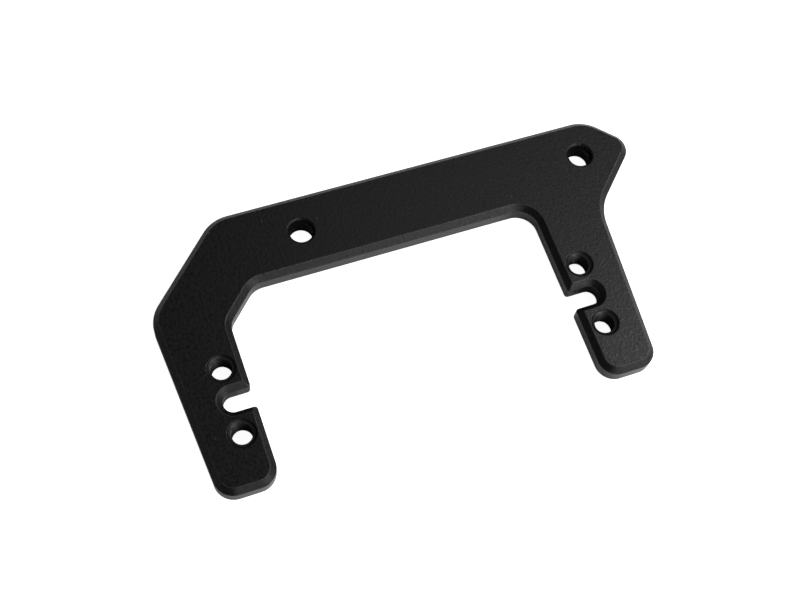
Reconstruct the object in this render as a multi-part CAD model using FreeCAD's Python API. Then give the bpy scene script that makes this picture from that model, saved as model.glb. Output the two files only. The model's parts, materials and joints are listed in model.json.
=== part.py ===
import FreeCAD, Part
import math
import os
from FreeCAD import Vector

# Servo bracket milled from one flat aluminium plate, in millimetres.
# X runs along the beam, Y from the arm ends to the beam, Z out of the front face.
# The origin is the middle of the four servo screws, halfway through the plate.

# Plate
plate_thickness = 3.4
edge_bevel = 0.8

# Bay between the two arms, where the servo body sits
bay_width = 44.0
bay_height = 14.8
bay_corner_radius = 2.9
bay_bevel_leg = 4.5
bay_bevel_radius = 2.5

# Beam and elbow, both measured across the metal, and the elbow's slant to the beam in degrees
beam_width = 10.7
elbow_width = 9.4
elbow_slant = 45.0
outer_corner_radius = 5.0

# Arms, as wide as this at their ends and wider towards the beam by the taper, in degrees
arm_reach = 11.75
arm_end_width = 7.8
arm_taper = 4.0
arm_end_radius = 2.6

# Nose at the right end of the beam, a point on the beam's middle line this far out from the bay
nose_reach = 17.75
nose_half_angle = 45.0
nose_tip_radius = 2.5
nose_root_radius = 6.5

# Slots that clear the ribs on the servo's ears
slot_width = 2.65
slot_depth = 4.0
slot_lip_radius = 0.45

# Tapped servo screw holes, two in each arm, set back from the bay's side walls
servo_screw_setback = 2.9
servo_screw_pitch = 9.0
servo_screw_bore = 2.6
servo_screw_mouth = 3.7

# Plain screw holes on the beam's middle line, the right one set back from the nose's point
beam_screw_setback = 8.25
beam_screw_spacing = 40.8
beam_screw_bore = 3.2
beam_screw_mouth = 3.8

# Lengths closer than this count as equal
tolerance = 1e-6

# A bend takes up less than half of each straight run beside it
largest_run_share = 0.49


def crossing(start, heading, other_start, other_heading):
    """Return the point where two lines cross, each given by a point and a heading in degrees."""
    a = math.radians(heading)
    b = math.radians(other_heading)
    gap_x = other_start[0] - start[0]
    gap_y = other_start[1] - start[1]
    along = (gap_x * math.sin(b) - gap_y * math.cos(b)) / math.sin(b - a)
    return start[0] + along * math.cos(a), start[1] + along * math.sin(a)


def rounded_outline(corners):
    """Join corners given as (x, y, radius) by straight runs and tangent arcs into a closed wire."""
    count = len(corners)
    bends = []
    for index in range(count):
        before = Vector(*corners[index - 1][:2], 0)
        here = Vector(*corners[index][:2], 0)
        after = Vector(*corners[(index + 1) % count][:2], 0)
        back = before - here
        onward = after - here
        half_angle = back.getAngle(onward) / 2
        longest_setback = largest_run_share * min(back.Length, onward.Length)
        setback = min(corners[index][2] / math.tan(half_angle), longest_setback)
        radius = setback * math.tan(half_angle)
        back.normalize()
        onward.normalize()
        inward = (back + onward).normalize()
        middle = here + inward * (radius / math.sin(half_angle) - radius)
        bends.append((here + back * setback, middle, here + onward * setback))
    edges = []
    for index in range(count):
        start, middle, end = bends[index]
        next_start = bends[(index + 1) % count][0]
        edges.append(Part.Arc(start, middle, end).toShape())
        edges.append(Part.LineSegment(end, next_start).toShape())
    return Part.Wire(edges)


def plate_corners():
    """Corners of the plate without its slots, clockwise from the left arm's outer end."""
    half_bay = bay_width / 2
    half_end = half_bay + arm_end_width
    beam_top = bay_height + beam_width
    beam_middle = bay_height + beam_width / 2
    slant = math.radians(elbow_slant)
    # The elbow's outer edge lies parallel to the slanted corner of the bay
    bay_bevel_top = (-half_bay + bay_bevel_leg, bay_height)
    bay_bevel_low = (-half_bay, bay_height - bay_bevel_leg * math.tan(slant))
    elbow_line = (
        bay_bevel_top[0] - elbow_width * math.sin(slant),
        bay_bevel_top[1] + elbow_width * math.cos(slant),
    )
    left_end = (-half_end, -arm_reach)
    right_end = (half_end, -arm_reach)
    elbow_low = crossing(left_end, 90 + arm_taper, elbow_line, elbow_slant)
    elbow_high = crossing(elbow_line, elbow_slant, (0, beam_top), 0)
    nose_tip = (half_bay + nose_reach, beam_middle)
    nose_high = crossing(nose_tip, -nose_half_angle, (0, beam_top), 0)
    nose_root = crossing(nose_tip, nose_half_angle, right_end, 90 - arm_taper)
    return [
        (*left_end, arm_end_radius),
        (*elbow_low, outer_corner_radius),
        (*elbow_high, outer_corner_radius),
        (*nose_high, outer_corner_radius),
        (*nose_tip, nose_tip_radius),
        (*nose_root, nose_root_radius),
        (*right_end, arm_end_radius),
        (half_bay, -arm_reach, arm_end_radius),
        (half_bay, bay_height, bay_corner_radius),
        (*bay_bevel_top, bay_corner_radius),
        (*bay_bevel_low, bay_bevel_radius),
        (-half_bay, -arm_reach, arm_end_radius),
    ]


def slot_cutter(side):
    """A slot with a full round end, cut from the bay into one arm (side is -1 or 1)."""
    bay_wall = side * bay_width / 2
    end_radius = slot_width / 2
    straight = slot_depth - end_radius
    channel = Part.makeBox(2 * straight, slot_width, plate_thickness)
    channel.translate(Vector(bay_wall - straight, -end_radius, 0))
    round_end = Part.makeCylinder(end_radius, plate_thickness)
    round_end.translate(Vector(bay_wall + side * straight, 0, 0))
    return channel.fuse(round_end)


def rim_edges(solid):
    """The edges round the front and back faces."""
    rims = []
    for edge in solid.Edges:
        box = edge.BoundBox
        on_back = abs(box.ZMax) < tolerance
        on_front = abs(box.ZMin - plate_thickness) < tolerance
        if on_back or on_front:
            rims.append(edge)
    return rims


def slot_lip_edges(solid):
    """The four upright edges where the slots open into the bay."""
    lips = []
    for edge in solid.Edges:
        box = edge.BoundBox
        upright = box.XLength < tolerance and box.YLength < tolerance
        on_bay_wall = abs(abs(box.Center.x) - bay_width / 2) < tolerance
        on_slot_wall = abs(abs(box.Center.y) - slot_width / 2) < tolerance
        if upright and on_bay_wall and on_slot_wall:
            lips.append(edge)
    return lips


def countersunk_hole(x, y, bore, mouth):
    """A through hole turned from its half section, with a 45 degree bevel at both faces."""
    bore_radius = bore / 2
    mouth_radius = mouth / 2
    bevel = mouth_radius - bore_radius
    section = Part.makePolygon([
        Vector(0, 0, 0),
        Vector(mouth_radius, 0, 0),
        Vector(bore_radius, 0, bevel),
        Vector(bore_radius, 0, plate_thickness - bevel),
        Vector(mouth_radius, 0, plate_thickness),
        Vector(0, 0, plate_thickness),
        Vector(0, 0, 0),
    ])
    hole = Part.Face(section).revolve(Vector(0, 0, 0), Vector(0, 0, 1), 360)
    hole.translate(Vector(x, y, 0))
    return hole


def screw_holes():
    """Four tapped holes for the servo and two plain holes through the beam."""
    holes = []
    for side in (-1, 1):
        for row in (-1, 1):
            x = side * (bay_width / 2 + servo_screw_setback)
            y = row * servo_screw_pitch / 2
            holes.append(countersunk_hole(x, y, servo_screw_bore, servo_screw_mouth))
    beam_middle = bay_height + beam_width / 2
    right_hole = bay_width / 2 + nose_reach - beam_screw_setback
    for x in (right_hole - beam_screw_spacing, right_hole):
        holes.append(countersunk_hole(x, beam_middle, beam_screw_bore, beam_screw_mouth))
    return holes


def servo_bracket():
    """The whole bracket, made on its back face and then centred on the plate's middle plane."""
    profile = Part.Face(rounded_outline(plate_corners()))
    plate = profile.extrude(Vector(0, 0, plate_thickness))
    plate = plate.cut([slot_cutter(-1), slot_cutter(1)])
    plate = plate.makeChamfer(edge_bevel, rim_edges(plate))
    plate = plate.makeFillet(slot_lip_radius, slot_lip_edges(plate))
    bracket = plate.cut(screw_holes()).Solids[0]
    bracket.translate(Vector(0, 0, -plate_thickness / 2))
    return bracket


os.makedirs("parts", exist_ok=True)
servo_bracket().exportStep("parts/servo_bracket.step")
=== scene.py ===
import json
import math

import bmesh
import bpy
from mathutils import Matrix, Vector
from mathutils.geometry import tessellate_polygon


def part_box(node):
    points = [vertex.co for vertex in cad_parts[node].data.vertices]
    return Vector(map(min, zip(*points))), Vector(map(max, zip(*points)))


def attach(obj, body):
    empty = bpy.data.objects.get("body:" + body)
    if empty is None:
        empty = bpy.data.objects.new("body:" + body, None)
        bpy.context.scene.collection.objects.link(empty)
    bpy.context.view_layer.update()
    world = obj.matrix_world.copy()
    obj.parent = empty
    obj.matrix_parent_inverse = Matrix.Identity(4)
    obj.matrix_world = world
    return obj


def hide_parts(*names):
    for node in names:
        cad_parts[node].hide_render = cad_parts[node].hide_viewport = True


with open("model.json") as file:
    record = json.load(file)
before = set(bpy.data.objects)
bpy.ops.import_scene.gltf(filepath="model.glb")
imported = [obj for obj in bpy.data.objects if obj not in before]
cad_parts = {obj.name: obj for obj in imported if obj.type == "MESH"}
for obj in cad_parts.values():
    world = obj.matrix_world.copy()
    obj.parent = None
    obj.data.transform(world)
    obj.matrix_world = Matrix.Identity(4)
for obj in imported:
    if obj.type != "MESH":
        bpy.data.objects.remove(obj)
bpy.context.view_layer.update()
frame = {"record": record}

mm = 0.001
backFace, frontFace = (corner.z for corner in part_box("servo_bracket"))
mounts = {mount["name"]: mount for mount in frame["record"]["mounts"]}
print("frame loaded, plate", round((frontFace - backFace) / mm, 3), "mm thick")

# the plate in millimetres, by the same driving sizes as the milled part
plate = {
    "thickness": (frontFace - backFace) / mm,
    "edgeBevel": 0.8,
    "bayWidth": 44.0,
    "bayHeight": 14.8,
    "bayCornerRadius": 2.9,
    "bayBevelLeg": 4.5,
    "bayBevelRadius": 2.5,
    "beamWidth": 10.7,
    "elbowWidth": 9.4,
    "outerCornerRadius": 5.0,
    "armReach": 11.75,
    "armEndWidth": 7.8,
    "armTaper": 4.0,          # degrees
    "armEndRadius": 2.6,
    "noseReach": 17.75,
    "noseTipRadius": 2.5,
    "noseRootRadius": 6.5,
    "slotWidth": 2.65,
    "slotDepth": 4.0,
    "slotLipRadius": 0.45,
    "edgeRound": 0.11,        # what blasting leaves on the edges of every bevel and hole
    "blendStrip": 0.07,       # flat rows beside each rounded edge
    "bendSteps": 16,          # steps in each bend of the outline
    "edgeSteps": 3,           # steps over each rounded edge
    "weld": 0.0005,           # points nearer than this become one
}


def roundedPath(corners, steps):
    # corners are (x, y, radius); one of radius 0 stays a plain point
    points = []
    for index, (x, y, radius) in enumerate(corners):
        here = Vector((x, y))
        if radius == 0:
            points.append(here)
            continue
        back = (Vector(corners[index - 1][:2]) - here).normalized()
        onward = (Vector(corners[(index + 1) % len(corners)][:2]) - here).normalized()
        halfAngle = back.angle(onward) / 2
        centre = here + (back + onward).normalized() * radius / math.sin(halfAngle)
        setback = radius / math.tan(halfAngle)
        first = here + back * setback - centre
        last = here + onward * setback - centre
        start = math.atan2(first.y, first.x)
        sweep = (math.atan2(last.y, last.x) - start + math.pi) % math.tau - math.pi
        for step in range(steps + 1):
            angle = start + sweep * step / steps
            points.append(centre + radius * Vector((math.cos(angle), math.sin(angle))))
    return points


def plateCorners():
    # clockwise from the left arm's outer end, so the metal lies to the right of travel
    p = plate
    halfBay = p["bayWidth"] / 2
    end = halfBay + p["armEndWidth"]
    low = -p["armReach"]
    top = p["bayHeight"] + p["beamWidth"]
    middle = p["bayHeight"] + p["beamWidth"] / 2
    lean = math.tan(math.radians(p["armTaper"]))
    slotHalf = p["slotWidth"] / 2
    slotEnd = halfBay + p["slotDepth"]
    lip = p["slotLipRadius"]
    # the elbow's outer edge is y = x + rise, and both edges of the nose run at 45 degrees
    rise = p["bayHeight"] + halfBay - p["bayBevelLeg"] + p["elbowWidth"] * math.sqrt(2)
    elbowY = (rise - end + low * lean) / (1 + lean)
    noseX = halfBay + p["noseReach"]
    rootY = (end - low * lean - noseX + middle) / (1 - lean)
    return [
        (-end, low, p["armEndRadius"]),
        (elbowY - rise, elbowY, p["outerCornerRadius"]),
        (top - rise, top, p["outerCornerRadius"]),
        (noseX - top + middle, top, p["outerCornerRadius"]),
        (noseX, middle, p["noseTipRadius"]),
        (noseX - middle + rootY, rootY, p["noseRootRadius"]),
        (end, low, p["armEndRadius"]),
        (halfBay, low, p["armEndRadius"]),
        (halfBay, -slotHalf, lip),
        (slotEnd, -slotHalf, slotHalf),
        (slotEnd, slotHalf, slotHalf),
        (halfBay, slotHalf, lip),
        (halfBay, p["bayHeight"], p["bayCornerRadius"]),
        (-halfBay + p["bayBevelLeg"], p["bayHeight"], p["bayCornerRadius"]),
        (-halfBay, p["bayHeight"] - p["bayBevelLeg"], p["bayBevelRadius"]),
        (-halfBay, slotHalf, lip),
        (-slotEnd, slotHalf, slotHalf),
        (-slotEnd, -slotHalf, slotHalf),
        (-halfBay, -slotHalf, lip),
        (-halfBay, low, p["armEndRadius"]),
    ]


def insetCorners(corners, distance):
    # every edge moves into the metal: outer corners tighten and inner corners open
    moved = []
    for index, (x, y, radius) in enumerate(corners):
        here = Vector((x, y))
        arriving = (here - Vector(corners[index - 1][:2])).normalized()
        leaving = (Vector(corners[(index + 1) % len(corners)][:2]) - here).normalized()
        sideA = Vector((arriving.y, -arriving.x))
        sideB = Vector((leaving.y, -leaving.x))
        shifted = here + (sideA + sideB) / (1 + sideA.dot(sideB)) * distance
        if arriving.cross(leaving) < 0:
            newRadius = max(radius - distance, min(radius, plate["edgeRound"]))
        else:
            newRadius = radius + distance
        moved.append((shifted.x, shifted.y, newRadius))
    return moved


def wornRows(section):
    # rows of (across, height, worn edge): the arcs are worn, the plain points beside them aren't
    points = roundedPath(section, plate["edgeSteps"])
    worn = []
    for *_, radius in section:
        worn += [1.0] * (plate["edgeSteps"] + 1) if radius else [0.0]
    return [(point.x, point.y, wear) for point, wear in zip(points, worn)]


def underside(section):
    return [(across, -height, radius) for across, height, radius in reversed(section)]


def rimSection():
    # from the flat face over the bevel, down the wall and back under, as (inset, height, radius)
    half = plate["thickness"] / 2
    bevel = plate["edgeBevel"]
    soft = plate["edgeRound"]
    strip = plate["blendStrip"]
    upper = [
        (bevel + strip, half, 0), (bevel, half, soft), (bevel - strip, half - strip, 0),
        (strip, half - bevel + strip, 0), (0, half - bevel, soft), (0, half - bevel - strip, 0),
    ]
    return upper + underside(upper)


def inSlot(x, y):
    # the walls of the slots keep the colour and roughness of the faces, so the painted floor reflection on
    # the other walls stays off them
    reach = plate["slotWidth"] / 2 + plate["slotLipRadius"]
    return abs(y) < reach and abs(x) < plate["bayWidth"] / 2 + plate["slotDepth"] + plate["edgeRound"]


def addRing(mesh, outline, height, wear, onWall=False):
    ring = []
    for x, y in outline:
        vert = mesh.verts.new((x * mm, y * mm, height * mm))
        vert[mesh.verts.layers.float["wornEdge"]] = wear
        # walls outside the slots are marked for their own roughness and for a lighter colour that paints in
        # the floor's reflection
        vert[mesh.verts.layers.float["sideAndReflection"]] = float(onWall and not inSlot(x, y))
        ring.append(vert)
    return ring


def bridgeRings(mesh, rings):
    for upper, lower in zip(rings, rings[1:]):
        for index in range(len(upper)):
            after = (index + 1) % len(upper)
            mesh.faces.new([upper[index], upper[after], lower[after], lower[index]])


def rimRings(mesh):
    corners = plateCorners()
    rings = []
    for inset, height, wear in wornRows(rimSection()):
        outline = roundedPath(insetCorners(corners, inset), plate["bendSteps"])
        rings.append(addRing(mesh, outline, height, wear, onWall=inset == 0 and wear == 0))
    bridgeRings(mesh, rings)
    return rings[0], rings[-1]


# the screw holes in millimetres, placed by the part's own mounts
holes = {
    "servoSpan": mounts["servo_screws"]["dims"]["spacing_x_mm"],
    "servoPitch": mounts["servo_screws"]["dims"]["spacing_y_mm"],
    "servoBore": mounts["servo_screws"]["dims"]["hole_r_mm"],
    "servoMouth": 1.90,
    "shoulder": 1.64,         # radius where the steep mouth ends and the drill's cone begins
    "shoulderDepth": 0.38,
    "shoulderRun": 2.0,       # radius lost for each length of depth
    "threadPitch": 0.5,
    "threadDepth": 0.27,
    "crestFlat": 0.25,        # as a share of the pitch, like the groove's floor
    "rootFlat": 0.125,
    "beamCentre": [value / mm for value in mounts["beam_screws"]["pos_m"][:2]],
    "beamSpacing": mounts["beam_screws"]["dims"]["spacing_x_mm"],
    "beamBore": mounts["beam_screws"]["dims"]["hole_r_mm"],
    "beamMouth": 1.9,
    "around": 96,             # steps round each hole
    "rowsPerTurn": 16,        # rows of points in one turn of thread
}


def turnedRings(mesh, centre, section):
    # a section of (radius, height, corner radius), turned round an upright axis
    rings = []
    for radius, height, _ in wornRows(section):
        circle = []
        for step in range(holes["around"]):
            angle = math.tau * step / holes["around"]
            circle.append((centre[0] + radius * math.cos(angle), centre[1] + radius * math.sin(angle)))
        rings.append(addRing(mesh, circle, height, 0.0))
    bridgeRings(mesh, rings)
    return rings[0], rings[-1]


def mouthSection(mouth, end, depth):
    # the flat row, the rounded edge and the slanted mouth down to its end radius
    half = plate["thickness"] / 2
    strip = plate["blendStrip"]
    lean = strip * (mouth - end) / depth
    return [
        (mouth + strip, half, 0), (mouth, half, plate["edgeRound"]),
        (mouth - lean, half - strip, 0), (end, half - depth, 0),
    ]


def plainHole(mesh, centre):
    depth = holes["beamMouth"] - holes["beamBore"]
    section = mouthSection(holes["beamMouth"], holes["beamBore"], depth)
    return turnedRings(mesh, centre, section + underside(section))


def tappedHoleMouths(mesh, centre):
    # only the two mouths: the drill's cones and the thread between them come from the node tree
    section = mouthSection(holes["servoMouth"], holes["shoulder"], holes["shoulderDepth"])
    front, _ = turnedRings(mesh, centre, section)
    _, back = turnedRings(mesh, centre, underside(section))
    return front, back


def fillFace(mesh, loops, upwards):
    sliver = 1e-14            # square metres, so the three points lie in line
    verts = [vert for loop in loops for vert in loop]
    for triangle in tessellate_polygon([[vert.co for vert in loop] for loop in loops]):
        corners = [verts[index] for index in triangle]
        normal = (corners[1].co - corners[0].co).cross(corners[2].co - corners[0].co)
        if normal.length < sliver:
            continue
        if (normal.z > 0) != upwards:
            corners.reverse()
        mesh.faces.new(corners)


def plateSkin(material):
    mesh = bmesh.new()
    mesh.verts.layers.float.new("wornEdge")
    mesh.verts.layers.float.new("sideAndReflection")
    loops = [rimRings(mesh)]
    for side in (-1, 1):
        for row in (-1, 1):
            centre = (side * holes["servoSpan"] / 2, row * holes["servoPitch"] / 2)
            loops.append(tappedHoleMouths(mesh, centre))
        centre = (holes["beamCentre"][0] + side * holes["beamSpacing"] / 2, holes["beamCentre"][1])
        loops.append(plainHole(mesh, centre))
    fillFace(mesh, [front for front, _ in loops], upwards=True)
    fillFace(mesh, [back for _, back in loops], upwards=False)
    bmesh.ops.remove_doubles(mesh, verts=mesh.verts, dist=plate["weld"] * mm)
    data = bpy.data.meshes.new("plateSkin")
    mesh.to_mesh(data)
    mesh.free()
    data.materials.append(material)
    skin = bpy.data.objects.new("plateSkin", data)
    bpy.context.scene.collection.objects.link(skin)
    print("plate skin made,", len(data.polygons), "faces")
    return skin


def addNode(tree, kind, inputs=None, **settings):
    node = tree.nodes.new(kind)
    for name, value in settings.items():
        setattr(node, name, value)
    for key, value in (inputs or {}).items():
        if isinstance(value, bpy.types.NodeSocket):
            tree.links.new(value, node.inputs[key])
        else:
            node.inputs[key].default_value = value
    return node


def calc(tree, operation, *values):
    return addNode(tree, "ShaderNodeMath", dict(enumerate(values)), operation=operation).outputs[0]


def shareBetween(tree, value, low, high):
    # 0 up to the low value, 1 from the high one on
    span = {"Value": value, "From Min": low, "From Max": high}
    return addNode(tree, "ShaderNodeMapRange", span).outputs[0]


def addSocket(tree, name, kind, value=None, output=False):
    socket = tree.interface.new_socket(name, in_out="OUTPUT" if output else "INPUT", socket_type=kind)
    if value is not None:
        socket.default_value = value


def threadedBore(tree, given):
    # a grid rolled into one threaded bore, with the drill's cone at both ends
    grid = addNode(tree, "GeometryNodeMeshGrid", {
        "Size X": 1.0, "Size Y": 1.0,
        "Vertices X": calc(tree, "ADD", given["Around"], 1.0), "Vertices Y": given["Rows"]})
    flat = addNode(tree, "ShaderNodeSeparateXYZ", {0: addNode(tree, "GeometryNodeInputPosition").outputs[0]})
    turn = calc(tree, "ADD", flat.outputs["X"], 0.5)
    angle = calc(tree, "MULTIPLY", turn, math.tau)
    reach = calc(tree, "SUBTRACT", given["Half Thickness"], given["Lead"])
    height = calc(tree, "MULTIPLY", calc(tree, "MULTIPLY", flat.outputs["Y"], 2.0), reach)

    # a V groove that climbs one pitch a turn, with flats on its crest and floor
    climb = calc(tree, "SUBTRACT", calc(tree, "DIVIDE", height, given["Thread Pitch"]), turn)
    slope = calc(tree, "ABSOLUTE", calc(tree, "MULTIPLY_ADD", calc(tree, "FRACT", climb), 2.0, -1.0))
    groove = shareBetween(tree, slope, given["Crest Flat"], calc(tree, "SUBTRACT", 1.0, given["Root Flat"]))
    threadRadius = calc(tree, "MULTIPLY_ADD", groove, given["Thread Depth"], given["Bore Radius"])

    # the cone narrows from the shoulder until it is inside the thread
    fromFace = calc(tree, "SUBTRACT", given["Half Thickness"], calc(tree, "ABSOLUTE", height))
    fromShoulder = calc(tree, "SUBTRACT", fromFace, given["Lead"])
    lost = calc(tree, "MULTIPLY", fromShoulder, given["Shoulder Run"])
    coneRadius = calc(tree, "SUBTRACT", given["Shoulder Radius"], lost)
    radius = calc(tree, "MAXIMUM", threadRadius, coneRadius)

    place = addNode(tree, "ShaderNodeCombineXYZ", {
        "X": calc(tree, "MULTIPLY", radius, calc(tree, "COSINE", angle)),
        "Y": calc(tree, "MULTIPLY", radius, calc(tree, "SINE", angle)),
        "Z": height})
    coned = addNode(tree, "GeometryNodeStoreNamedAttribute", {
        "Geometry": grid.outputs["Mesh"], "Name": "drillCone",
        "Value": calc(tree, "GREATER_THAN", coneRadius, threadRadius)})
    rolled = addNode(tree, "GeometryNodeSetPosition", {
        "Geometry": coned.outputs[0], "Position": place.outputs[0]})
    inwards = addNode(tree, "GeometryNodeFlipFaces", {"Mesh": rolled.outputs[0]})
    cut = addNode(tree, "GeometryNodeStoreNamedAttribute", {
        "Geometry": inwards.outputs[0], "Name": "cutThread", "Value": 1.0})
    return cut.outputs[0]


def tappedBoresTree():
    # sets a threaded bore at each servo screw and welds them to the plate
    tree = bpy.data.node_groups.new("tappedBores", "GeometryNodeTree")
    addSocket(tree, "Geometry", "NodeSocketGeometry")
    addSocket(tree, "Geometry", "NodeSocketGeometry", output=True)
    for name in ("Span", "Row Pitch", "Bore Radius", "Shoulder Radius", "Half Thickness",
                 "Lead", "Thread Pitch", "Thread Depth", "Weld Distance"):
        addSocket(tree, name, "NodeSocketFloat", mm)
    addSocket(tree, "Shoulder Run", "NodeSocketFloat", 1.0)
    addSocket(tree, "Crest Flat", "NodeSocketFloat", 0.25)
    addSocket(tree, "Root Flat", "NodeSocketFloat", 0.125)
    addSocket(tree, "Around", "NodeSocketInt", 32)
    addSocket(tree, "Rows", "NodeSocketInt", 32)
    addSocket(tree, "Material", "NodeSocketMaterial")
    given = addNode(tree, "NodeGroupInput").outputs

    spots = addNode(tree, "GeometryNodeMeshGrid", {
        "Size X": given["Span"], "Size Y": given["Row Pitch"], "Vertices X": 2, "Vertices Y": 2})
    bores = addNode(tree, "GeometryNodeInstanceOnPoints", {
        "Points": spots.outputs["Mesh"], "Instance": threadedBore(tree, given)})
    joined = addNode(tree, "GeometryNodeJoinGeometry")
    tree.links.new(bores.outputs[0], joined.inputs[0])
    tree.links.new(given["Geometry"], joined.inputs[0])
    real = addNode(tree, "GeometryNodeRealizeInstances", {"Geometry": joined.outputs[0]})
    welded = addNode(tree, "GeometryNodeMergeByDistance", {
        "Geometry": real.outputs[0], "Distance": given["Weld Distance"]})
    smooth = addNode(tree, "GeometryNodeSetShadeSmooth", {
        "Geometry": welded.outputs[0], "Shade Smooth": True})
    painted = addNode(tree, "GeometryNodeSetMaterial", {
        "Geometry": smooth.outputs[0], "Material": given["Material"]})
    addNode(tree, "NodeGroupOutput", {0: painted.outputs[0]})
    return tree


def setInputs(modifier, values):
    for item in modifier.node_group.interface.items_tree:
        if item.item_type == "SOCKET" and item.in_out == "INPUT" and item.name in values:
            modifier[item.identifier] = values[item.name]


def bracketBody(material):
    skin = plateSkin(material)
    half = plate["thickness"] / 2
    turns = 2 * (half - holes["shoulderDepth"]) / holes["threadPitch"]
    modifier = skin.modifiers.new("tappedBores", "NODES")
    modifier.node_group = tappedBoresTree()
    setInputs(modifier, {
        "Span": holes["servoSpan"] * mm,
        "Row Pitch": holes["servoPitch"] * mm,
        "Bore Radius": holes["servoBore"] * mm,
        "Shoulder Radius": holes["shoulder"] * mm,
        "Half Thickness": half * mm,
        "Lead": holes["shoulderDepth"] * mm,
        "Shoulder Run": holes["shoulderRun"],
        "Thread Pitch": holes["threadPitch"] * mm,
        "Thread Depth": holes["threadDepth"] * mm,
        "Crest Flat": holes["crestFlat"],
        "Root Flat": holes["rootFlat"],
        "Weld Distance": plate["weld"] * mm,
        "Around": holes["around"],
        "Rows": round(turns * holes["rowsPerTurn"]),
        "Material": material,
    })
    evenLight = skin.modifiers.new("evenLight", "WEIGHTED_NORMAL")
    evenLight.weight = 90     # the flat faces keep their own normals
    graph = bpy.context.evaluated_depsgraph_get()
    data = bpy.data.meshes.new_from_object(skin.evaluated_get(graph), depsgraph=graph)
    data.materials.clear()
    data.materials.append(material)
    data.polygons.foreach_set("material_index", [0] * len(data.polygons))
    bpy.data.objects.remove(skin)
    body = bpy.data.objects.new("bracketBody", data)
    bpy.context.scene.collection.objects.link(body)
    print("bracket body made,", len(data.polygons), "faces")
    return body


# the black anodised finish, with lengths in millimetres
finish = {
    "colour": (0.0031, 0.0032, 0.0033, 1),
    "colourLight": (0.0061, 0.0062, 0.0063, 1),
    # a lighter colour for the walls outside the slots, a painted reflection of the lit floor
    "sideReflectionColour": (0.039, 0.0392, 0.0395, 1),
    # bare metal at the specks and the nicks, and also the painted highlight on the drill's cone
    "bareAndHighlightColour": (0.16, 0.16, 0.163, 1),
    "specular": 0.25,
    "roughness": 0.33,
    "roughnessSpread": 0.19,
    "sideRoughness": 0.20,
    "threadRoughness": 0.36,
    "coneRoughness": 0.21,
    "coneHighlight": 0.1,           # how far the drill's cone is drawn in the bare colour, a painted highlight
    "cutClean": 0.8,          # the share of the grain that drilling and tapping take off
    "edgeRoughness": 0.22,
    "edgeRub": 0.12,          # how bare the rubbed edges are all along
    "grainSize": 0.36,
    "grainHeight": 0.032,
    "blotchSize": 0.42,
    "speckSpacing": 0.55,
    "speckShare": 0.006,      # how many of the places hold a bare speck
    "glintSpacing": 0.45,
    "glintShare": 0.30,       # how many of the places hold a raised grain
    "glintRise": 1.8,         # as a share of the grain's height
    "nickSize": 0.35,
    "nickShare": 0.14,        # how much of an edge is nicked
}


def blastedGrain():
    # the pitted grain that bead blasting leaves, as a height, a tone and a roughness
    tree = bpy.data.node_groups.new("blastedGrain", "ShaderNodeTree")
    addSocket(tree, "Grain Size", "NodeSocketFloat", 0.3 * mm)
    addSocket(tree, "Blotch Size", "NodeSocketFloat", 0.4 * mm)
    addSocket(tree, "Roughness", "NodeSocketFloat", 0.4)
    addSocket(tree, "Roughness Spread", "NodeSocketFloat", 0.1)
    for name in ("Height", "Tone", "Roughness"):
        addSocket(tree, name, "NodeSocketFloat", output=True)
    given = addNode(tree, "NodeGroupInput").outputs
    where = addNode(tree, "ShaderNodeTexCoord").outputs["Object"]
    pits = addNode(tree, "ShaderNodeTexNoise", {
        "Vector": where, "Scale": calc(tree, "DIVIDE", 1.0, given["Grain Size"]),
        "Detail": 1.5, "Roughness": 0.6}).outputs[0]
    farOff = (0.1, 0.1, 0.1)  # so that the blotches don't follow the pits
    shifted = addNode(tree, "ShaderNodeVectorMath", {0: where, 1: farOff}, operation="ADD").outputs[0]
    blotches = addNode(tree, "ShaderNodeTexNoise", {
        "Vector": shifted, "Scale": calc(tree, "DIVIDE", 1.0, given["Blotch Size"]),
        "Detail": 0.5, "Roughness": 0.5}).outputs[0]
    tone = shareBetween(tree, blotches, 0.25, 0.75)
    swing = calc(tree, "MULTIPLY", calc(tree, "SUBTRACT", tone, 0.5), given["Roughness Spread"])
    rough = calc(tree, "ADD", given["Roughness"], swing)
    addNode(tree, "NodeGroupOutput", {"Height": pits, "Tone": tone, "Roughness": rough})
    return tree


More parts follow.
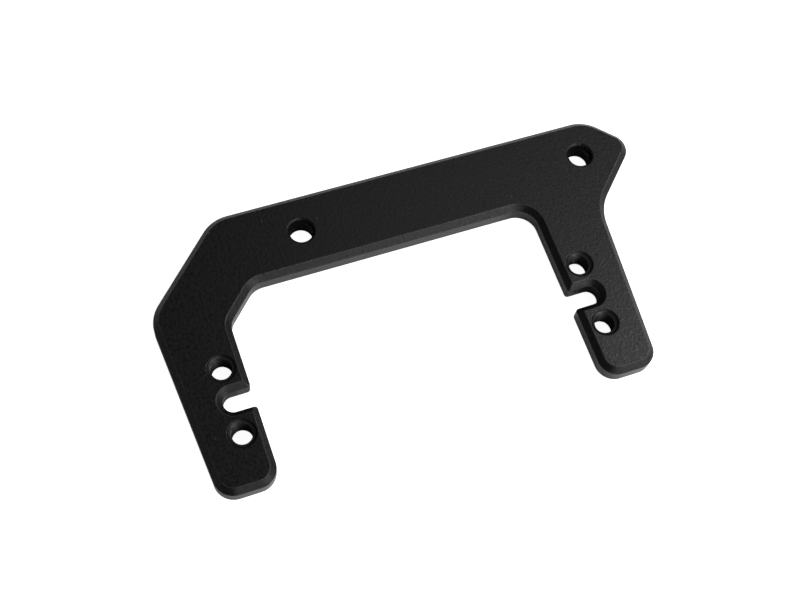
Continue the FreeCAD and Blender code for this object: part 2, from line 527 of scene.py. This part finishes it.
def scatteredSpecks():
    # uneven specks in some of the cells of a random pattern, with sizes as shares of the spacing
    tree = bpy.data.node_groups.new("scatteredSpecks", "ShaderNodeTree")
    addSocket(tree, "Spacing", "NodeSocketFloat", 0.5 * mm)
    addSocket(tree, "Share", "NodeSocketFloat", 0.05)
    addSocket(tree, "Wobble", "NodeSocketFloat", 0.5)
    addSocket(tree, "Wobbles", "NodeSocketFloat", 6.0)
    addSocket(tree, "Smallest", "NodeSocketFloat", 0.12)
    addSocket(tree, "Size Spread", "NodeSocketFloat", 0.12)
    addSocket(tree, "Faintest", "NodeSocketFloat", 0.3)
    addSocket(tree, "Mask", "NodeSocketFloat", output=True)
    given = addNode(tree, "NodeGroupInput").outputs
    where = addNode(tree, "ShaderNodeTexCoord").outputs["Object"]
    scale = calc(tree, "DIVIDE", 1.0, given["Spacing"])
    noise = addNode(tree, "ShaderNodeTexNoise", {
        "Vector": where, "Scale": calc(tree, "MULTIPLY", scale, given["Wobbles"]), "Detail": 1.0})
    pull = addNode(tree, "ShaderNodeVectorMath", {
        0: noise.outputs["Color"], "Scale": calc(tree, "MULTIPLY", given["Spacing"], given["Wobble"])},
        operation="SCALE").outputs[0]
    bent = addNode(tree, "ShaderNodeVectorMath", {0: where, 1: pull}, operation="ADD").outputs[0]
    cells = addNode(tree, "ShaderNodeTexVoronoi", {"Vector": bent, "Scale": scale})
    chance = addNode(tree, "ShaderNodeSeparateColor", {0: cells.outputs["Color"]}).outputs
    chosen = calc(tree, "LESS_THAN", chance[0], given["Share"])
    size = calc(tree, "MULTIPLY_ADD", chance[1], given["Size Spread"], given["Smallest"])
    near = addNode(tree, "ShaderNodeMapRange", {
        "Value": calc(tree, "DIVIDE", cells.outputs["Distance"], size),
        "From Min": 0.2, "From Max": 1.0, "To Min": 1.0, "To Max": 0.0},
        interpolation_type="SMOOTHSTEP").outputs[0]
    brighter = calc(tree, "SUBTRACT", 1.0, given["Faintest"])
    strength = calc(tree, "MULTIPLY_ADD", chance[2], brighter, given["Faintest"])
    mask = calc(tree, "MULTIPLY", calc(tree, "MULTIPLY", chosen, near), strength)
    addNode(tree, "NodeGroupOutput", {"Mask": mask})
    return tree


def edgeNicks():
    # edges rubbed a little all along, with short bare places
    tree = bpy.data.node_groups.new("edgeNicks", "ShaderNodeTree")
    addSocket(tree, "Edge", "NodeSocketFloat", 0.0)
    addSocket(tree, "Nick Size", "NodeSocketFloat", 0.3 * mm)
    addSocket(tree, "Share", "NodeSocketFloat", 0.3)
    addSocket(tree, "Softness", "NodeSocketFloat", 0.08)
    addSocket(tree, "Rub", "NodeSocketFloat", 0.1)
    addSocket(tree, "Mask", "NodeSocketFloat", output=True)
    given = addNode(tree, "NodeGroupInput").outputs
    where = addNode(tree, "ShaderNodeTexCoord").outputs["Object"]
    patches = addNode(tree, "ShaderNodeTexNoise", {
        "Vector": where, "Scale": calc(tree, "DIVIDE", 1.0, given["Nick Size"]), "Detail": 2.0}).outputs[0]
    # the noise mostly lies between a quarter and three quarters, and a larger share lowers the level
    level = calc(tree, "SUBTRACT", 0.75, calc(tree, "MULTIPLY", given["Share"], 0.5))
    bare = shareBetween(tree, patches, level, calc(tree, "ADD", level, given["Softness"]))
    near = shareBetween(tree, given["Edge"], 0.2, 0.6)
    rubbedAndConeHighlight = calc(tree, "MAXIMUM", bare, given["Rub"])
    addNode(tree, "NodeGroupOutput", {"Mask": calc(tree, "MULTIPLY", rubbedAndConeHighlight, near)})
    return tree


def groupOutputs(tree, group, inputs):
    return addNode(tree, "ShaderNodeGroup", inputs, node_tree=group).outputs


def storedMask(tree, name):
    return addNode(tree, "ShaderNodeAttribute", attribute_name=name).outputs["Fac"]


def mixColour(tree, share, first, second):
    # 6, 7 and 2 are the mix node's own colour sockets
    return addNode(tree, "ShaderNodeMix", {0: share, 6: first, 7: second}, data_type="RGBA").outputs[2]


def mixValue(tree, share, first, second):
    return addNode(tree, "ShaderNodeMix", {0: share, 2: first, 3: second}, data_type="FLOAT").outputs[0]


def blackAnodised():
    material = bpy.data.materials.new("blackAnodised")
    material.use_nodes = True
    tree = material.node_tree
    shader = tree.nodes["Principled BSDF"]
    shader.inputs["Specular IOR Level"].default_value = finish["specular"]
    sideAndReflectionMask = storedMask(tree, "sideAndReflection")
    worn = storedMask(tree, "wornEdge")
    coned = storedMask(tree, "drillCone")
    threaded = storedMask(tree, "cutThread")
    grain = groupOutputs(tree, blastedGrain(), {
        "Grain Size": finish["grainSize"] * mm,
        "Blotch Size": finish["blotchSize"] * mm,
        "Roughness": finish["roughness"],
        "Roughness Spread": finish["roughnessSpread"]})
    speckGroup = scatteredSpecks()
    specks = groupOutputs(tree, speckGroup, {
        "Spacing": finish["speckSpacing"] * mm, "Share": finish["speckShare"]})
    glints = groupOutputs(tree, speckGroup, {
        "Spacing": finish["glintSpacing"] * mm, "Share": finish["glintShare"]})
    nicks = groupOutputs(tree, edgeNicks(), {
        "Edge": worn, "Nick Size": finish["nickSize"] * mm, "Share": finish["nickShare"],
        "Rub": finish["edgeRub"]})

    # blotchy faces, greyer walls as a painted reflection of the lit floor, bare at the specks and the nicks,
    # and lighter on the drill's cone as a painted highlight
    face = mixColour(tree, grain["Tone"], finish["colour"], finish["colourLight"])
    facesAndSideReflection = mixColour(tree, sideAndReflectionMask, face, finish["sideReflectionColour"])
    # the drill's cone is drawn partly in the bare colour as a painted highlight
    rubbedAndConeHighlight = calc(tree, "MAXIMUM", nicks["Mask"], calc(tree, "MULTIPLY", coned, finish["coneHighlight"]))
    fleckedWithPaintedLight = mixColour(tree, calc(tree, "MAXIMUM", specks["Mask"], rubbedAndConeHighlight), facesAndSideReflection, finish["bareAndHighlightColour"])
    tree.links.new(fleckedWithPaintedLight, shader.inputs["Base Color"])

    rough = mixValue(tree, sideAndReflectionMask, grain["Roughness"], finish["sideRoughness"])
    rough = mixValue(tree, threaded, rough, finish["threadRoughness"])
    rough = mixValue(tree, coned, rough, finish["coneRoughness"])
    rough = mixValue(tree, worn, rough, finish["edgeRoughness"])
    tree.links.new(rough, shader.inputs["Roughness"])

    # the grain and its raised glints, about the grain's own middle height
    height = calc(tree, "MULTIPLY_ADD", glints["Mask"], finish["glintRise"], grain["Height"])
    rise = calc(tree, "SUBTRACT", height, 0.5)
    clean = calc(tree, "MULTIPLY_ADD", threaded, -finish["cutClean"], 1.0)
    relief = addNode(tree, "ShaderNodeBump", {
        "Height": calc(tree, "MULTIPLY", rise, clean),
        "Distance": finish["grainHeight"] * mm, "Strength": 1.0})
    tree.links.new(relief.outputs[0], shader.inputs["Normal"])
    print("black anodised finish made")
    return material


# the table and the lamps: lengths in millimetres, directions in degrees round the part
studio = {
    "floorColour": (0.90, 0.90, 0.90, 1),
    "floorWhitening": 0.94,   # seen by the camera alone, so it puts no light on the part
    "floorRoughness": 0.9,
    "floorSize": 3000,
    "worldColour": (0.132, 0.132, 0.132, 1),
    "backdropColour": (1, 1, 1, 1),  # what the camera alone sees past the floor
    "lampDistance": 300,
}
lamps = {
    "mainKey": {"azimuth": 0, "elevation": 45, "size": 150, "power": 0.414},
    "smallKey": {"azimuth": 310, "elevation": 47, "size": 80, "power": 0.110},
    "highKey": {"azimuth": 15, "elevation": 60, "size": 90, "power": 0.072},
    "lowFill": {"azimuth": 340, "elevation": 10, "size": 200, "power": 0.058},
    "rightFill": {"azimuth": 310, "elevation": 20, "size": 200, "power": 0.236},
    "frontLamp": {"azimuth": 290, "elevation": 35, "size": 150, "power": 0.097},
    "frontFill": {"azimuth": 270, "elevation": 20, "size": 200, "power": 0.126},
    "backLamp": {"azimuth": 45, "elevation": 60, "size": 200, "power": 0.059},
}


def studioFloor():
    bpy.ops.mesh.primitive_plane_add(size=studio["floorSize"] * mm, location=(0, 0, backFace))
    floor = bpy.context.object
    floor.name = "studioFloor"
    material = bpy.data.materials.new("floorWhite")
    material.use_nodes = True
    tree = material.node_tree
    shader = tree.nodes["Principled BSDF"]
    shader.inputs["Base Color"].default_value = studio["floorColour"]
    shader.inputs["Roughness"].default_value = studio["floorRoughness"]
    shader.inputs["Specular IOR Level"].default_value = 0.0
    shader.inputs["Emission Color"].default_value = (1, 1, 1, 1)
    seen = addNode(tree, "ShaderNodeLightPath").outputs["Is Camera Ray"]
    glow = calc(tree, "MULTIPLY", seen, studio["floorWhitening"])
    tree.links.new(glow, shader.inputs["Emission Strength"])
    floor.data.materials.append(material)


def softLamp(name, place, size, power):
    lamp = bpy.data.lights.new(name, "AREA")
    lamp.shape = "DISK"
    lamp.size = size * mm
    lamp.energy = power
    holder = bpy.data.objects.new(name, lamp)
    holder.location = place * mm
    holder.rotation_euler = place.to_track_quat("Z", "Y").to_euler()
    bpy.context.scene.collection.objects.link(holder)


def studioLight():
    world = bpy.data.worlds.new("studioWorld")
    bpy.context.scene.world = world
    world.use_nodes = True
    tree = world.node_tree
    seen = addNode(tree, "ShaderNodeLightPath").outputs["Is Camera Ray"]
    shown = mixColour(tree, seen, studio["worldColour"], studio["backdropColour"])
    tree.links.new(shown, tree.nodes["Background"].inputs["Color"])
    for name, lamp in lamps.items():
        turn = math.radians(lamp["azimuth"])
        lift = math.radians(lamp["elevation"])
        across = math.cos(lift)
        direction = Vector((math.cos(turn) * across, math.sin(turn) * across, math.sin(lift)))
        softLamp(name, direction * studio["lampDistance"], lamp["size"], lamp["power"])
    print("table and lamps ready")


# the photograph's camera: its place in millimetres, its turn in degrees, its lens in picture pixels
view = {
    "place": (-34.992, -53.672, 153.117),
    "heading": -34.521,
    "down": 66.511,
    "roll": 15.634,
    "focalLength": 1271.40,
    "lensAxis": (433.275, 336.073),
    "picture": (800, 600),
    "sensor": 36.0,           # millimetres across
}


def photoCamera():
    data = bpy.data.cameras.new("photoCamera")
    width, height = view["picture"]
    data.sensor_width = view["sensor"]
    data.lens = view["focalLength"] / width * view["sensor"]
    data.shift_x = (width / 2 - view["lensAxis"][0]) / width
    data.shift_y = (view["lensAxis"][1] - height / 2) / width
    data.clip_start = mm
    camera = bpy.data.objects.new("photoCamera", data)
    bpy.context.scene.collection.objects.link(camera)
    heading = Matrix.Rotation(math.radians(view["heading"]), 4, "Z")
    tilt = Matrix.Rotation(math.radians(90 - view["down"]), 4, "X")
    roll = Matrix.Rotation(math.radians(view["roll"]), 4, "Z")
    camera.matrix_world = Matrix.Translation(Vector(view["place"]) * mm) @ heading @ tilt @ roll
    bpy.context.scene.camera = camera
    print("camera placed")


bracket = bracketBody(blackAnodised())
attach(bracket, "root")
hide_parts("servo_bracket")
studioFloor()
studioLight()
photoCamera()
bpy.context.scene.view_settings.view_transform = "Standard"
